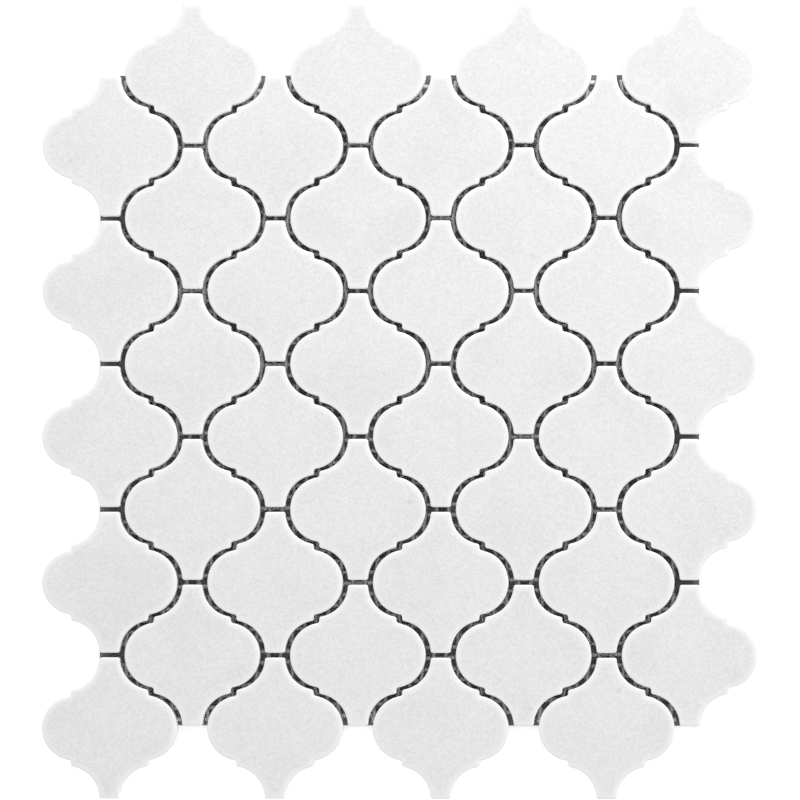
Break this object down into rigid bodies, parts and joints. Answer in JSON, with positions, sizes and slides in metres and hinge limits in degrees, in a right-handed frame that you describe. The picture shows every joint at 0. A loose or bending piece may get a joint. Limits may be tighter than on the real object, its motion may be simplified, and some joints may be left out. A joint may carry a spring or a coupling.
{
  "type": "marble mosaic tile sheet",
  "caption": "Interlocking sheet of white marble lantern-shaped mosaic tiles on an open glass-fibre mesh, bedded in adhesive and grouted to face walls and floors.",
  "frame": {"origin": "centre of the sheet, on the plane its mesh back lies on", "axes": "+Z out of the finished face, +Y up the picture, along the columns of tiles, +X to the right across them"},
  "size_m": [0.2736, 0.3048, 0.01],
  "materials": {
    "marble": "honed",
    "mesh": "matte"
  },
  "bodies": {
    "root": {"tile_column_1_row_1": "marble", "tile_column_1_row_2": "marble", "tile_column_1_row_3": "marble", "tile_column_1_row_4": "marble", "tile_column_1_row_5": "marble", "tile_column_2_row_1": "marble", "tile_column_2_row_2": "marble", "tile_column_2_row_3": "marble", "tile_column_2_row_4": "marble", "tile_column_2_row_5": "marble", "tile_column_3_row_1": "marble", "tile_column_3_row_2": "marble", "tile_column_3_row_3": "marble", "tile_column_3_row_4": "marble", "tile_column_3_row_5": "marble", "tile_column_4_row_1": "marble", "tile_column_4_row_2": "marble", "tile_column_4_row_3": "marble", "tile_column_4_row_4": "marble", "tile_column_4_row_5": "marble", "tile_column_5_row_1": "marble", "tile_column_5_row_2": "marble", "tile_column_5_row_3": "marble", "tile_column_5_row_4": "marble", "tile_column_5_row_5": "marble", "tile_column_6_row_1": "marble", "tile_column_6_row_2": "marble", "tile_column_6_row_3": "marble", "tile_column_6_row_4": "marble", "tile_column_6_row_5": "marble", "tile_column_7_row_1": "marble", "tile_column_7_row_2": "marble", "tile_column_7_row_3": "marble", "tile_column_7_row_4": "marble", "tile_column_7_row_5": "marble", "tile_column_8_row_1": "marble", "tile_column_8_row_2": "marble", "tile_column_8_row_3": "marble", "tile_column_8_row_4": "marble", "tile_column_8_row_5": "marble", "mesh_warp_yarns": "mesh", "mesh_weft_yarns": "mesh"}
  },
  "joints": []
}
